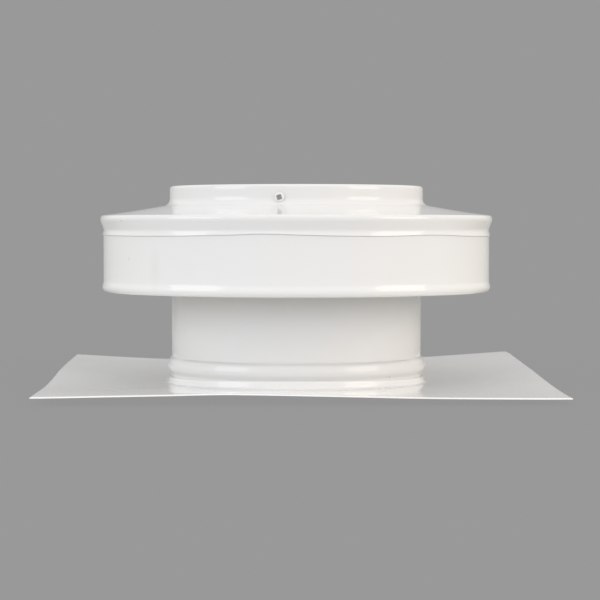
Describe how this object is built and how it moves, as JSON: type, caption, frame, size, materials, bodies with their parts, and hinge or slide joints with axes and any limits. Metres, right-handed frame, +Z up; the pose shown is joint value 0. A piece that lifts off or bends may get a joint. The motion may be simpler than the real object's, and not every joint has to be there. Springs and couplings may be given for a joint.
{
  "type": "static roof vent",
  "caption": "White round static roof vent: a square roof flange and a beaded collar carry a wide flat-topped spun hood with a deep wind band around its edge.",
  "frame": {"origin": "centre of the collar, at the underside of its base lip, where the vent meets the roof", "axes": "+Z up along the axis of the collar and hood, -Y the front, X and Y along the edges of the flange"},
  "size_m": [0.589, 0.589, 0.2297],
  "materials": {
    "white_paint": "gloss",
    "screw_paint": "gloss",
    "mill_aluminium": "satin",
    "wire_cloth": "satin"
  },
  "bodies": {
    "root": {"flange": "white_paint", "collar": "white_paint", "wind_band": "white_paint", "hood": "white_paint", "hood_screws": "screw_paint", "hood_strap_1": "mill_aluminium", "hood_strap_2": "mill_aluminium", "hood_strap_3": "mill_aluminium", "bird_screen": "wire_cloth"}
  },
  "joints": []
}
